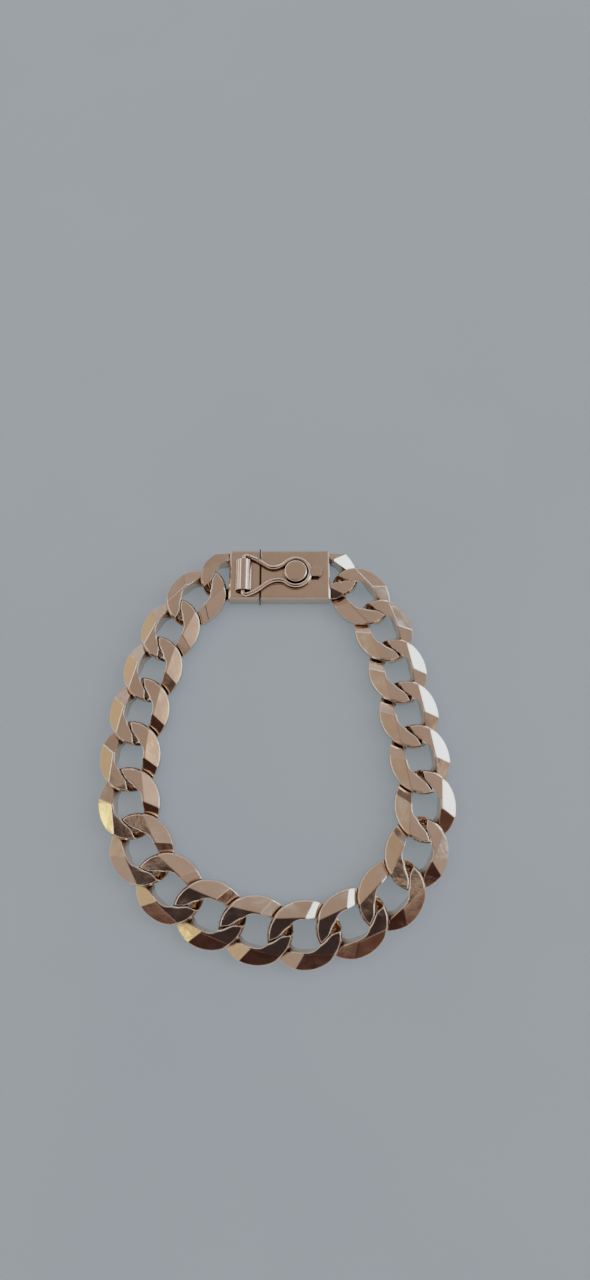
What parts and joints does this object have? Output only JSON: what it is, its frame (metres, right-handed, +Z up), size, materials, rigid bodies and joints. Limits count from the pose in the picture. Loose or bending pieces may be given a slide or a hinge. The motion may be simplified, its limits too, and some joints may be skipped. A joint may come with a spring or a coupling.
{
  "type": "curb link bracelet",
  "caption": "Flat curb-link bracelet in rose gold, closed by a box clasp with a hinged wire safety latch that lies round a knob.",
  "frame": {"origin": "centre of the clasp's underside, on the surface that the bracelet lies on", "axes": "+X along the clasp from the tongue half to the box half, +Y from the loop of chain towards the clasp, +Z up"},
  "size_m": [0.0668, 0.079, 0.0051],
  "materials": {
    "rose_gold": "polished"
  },
  "bodies": {
    "bracelet": {"link_01": "rose_gold", "link_02": "rose_gold", "link_03": "rose_gold", "link_04": "rose_gold", "link_05": "rose_gold", "link_06": "rose_gold", "link_07": "rose_gold", "link_08": "rose_gold", "link_09": "rose_gold", "link_10": "rose_gold", "link_11": "rose_gold", "link_12": "rose_gold", "link_13": "rose_gold", "link_14": "rose_gold", "link_15": "rose_gold", "link_16": "rose_gold", "link_17": "rose_gold", "link_18": "rose_gold", "link_19": "rose_gold", "link_20": "rose_gold", "clasp_box": "rose_gold", "clasp_tongue": "rose_gold"},
    "latch": {"safety_latch": "rose_gold"}
  },
  "joints": [
    {"name": "latch_hinge", "type": "hinge", "parent": "bracelet", "child": "latch", "pos_m": [-0.00735, -0.00045, 0.00412], "axis": [0, -1, 0], "range_deg": [0, 180]}
  ]
}
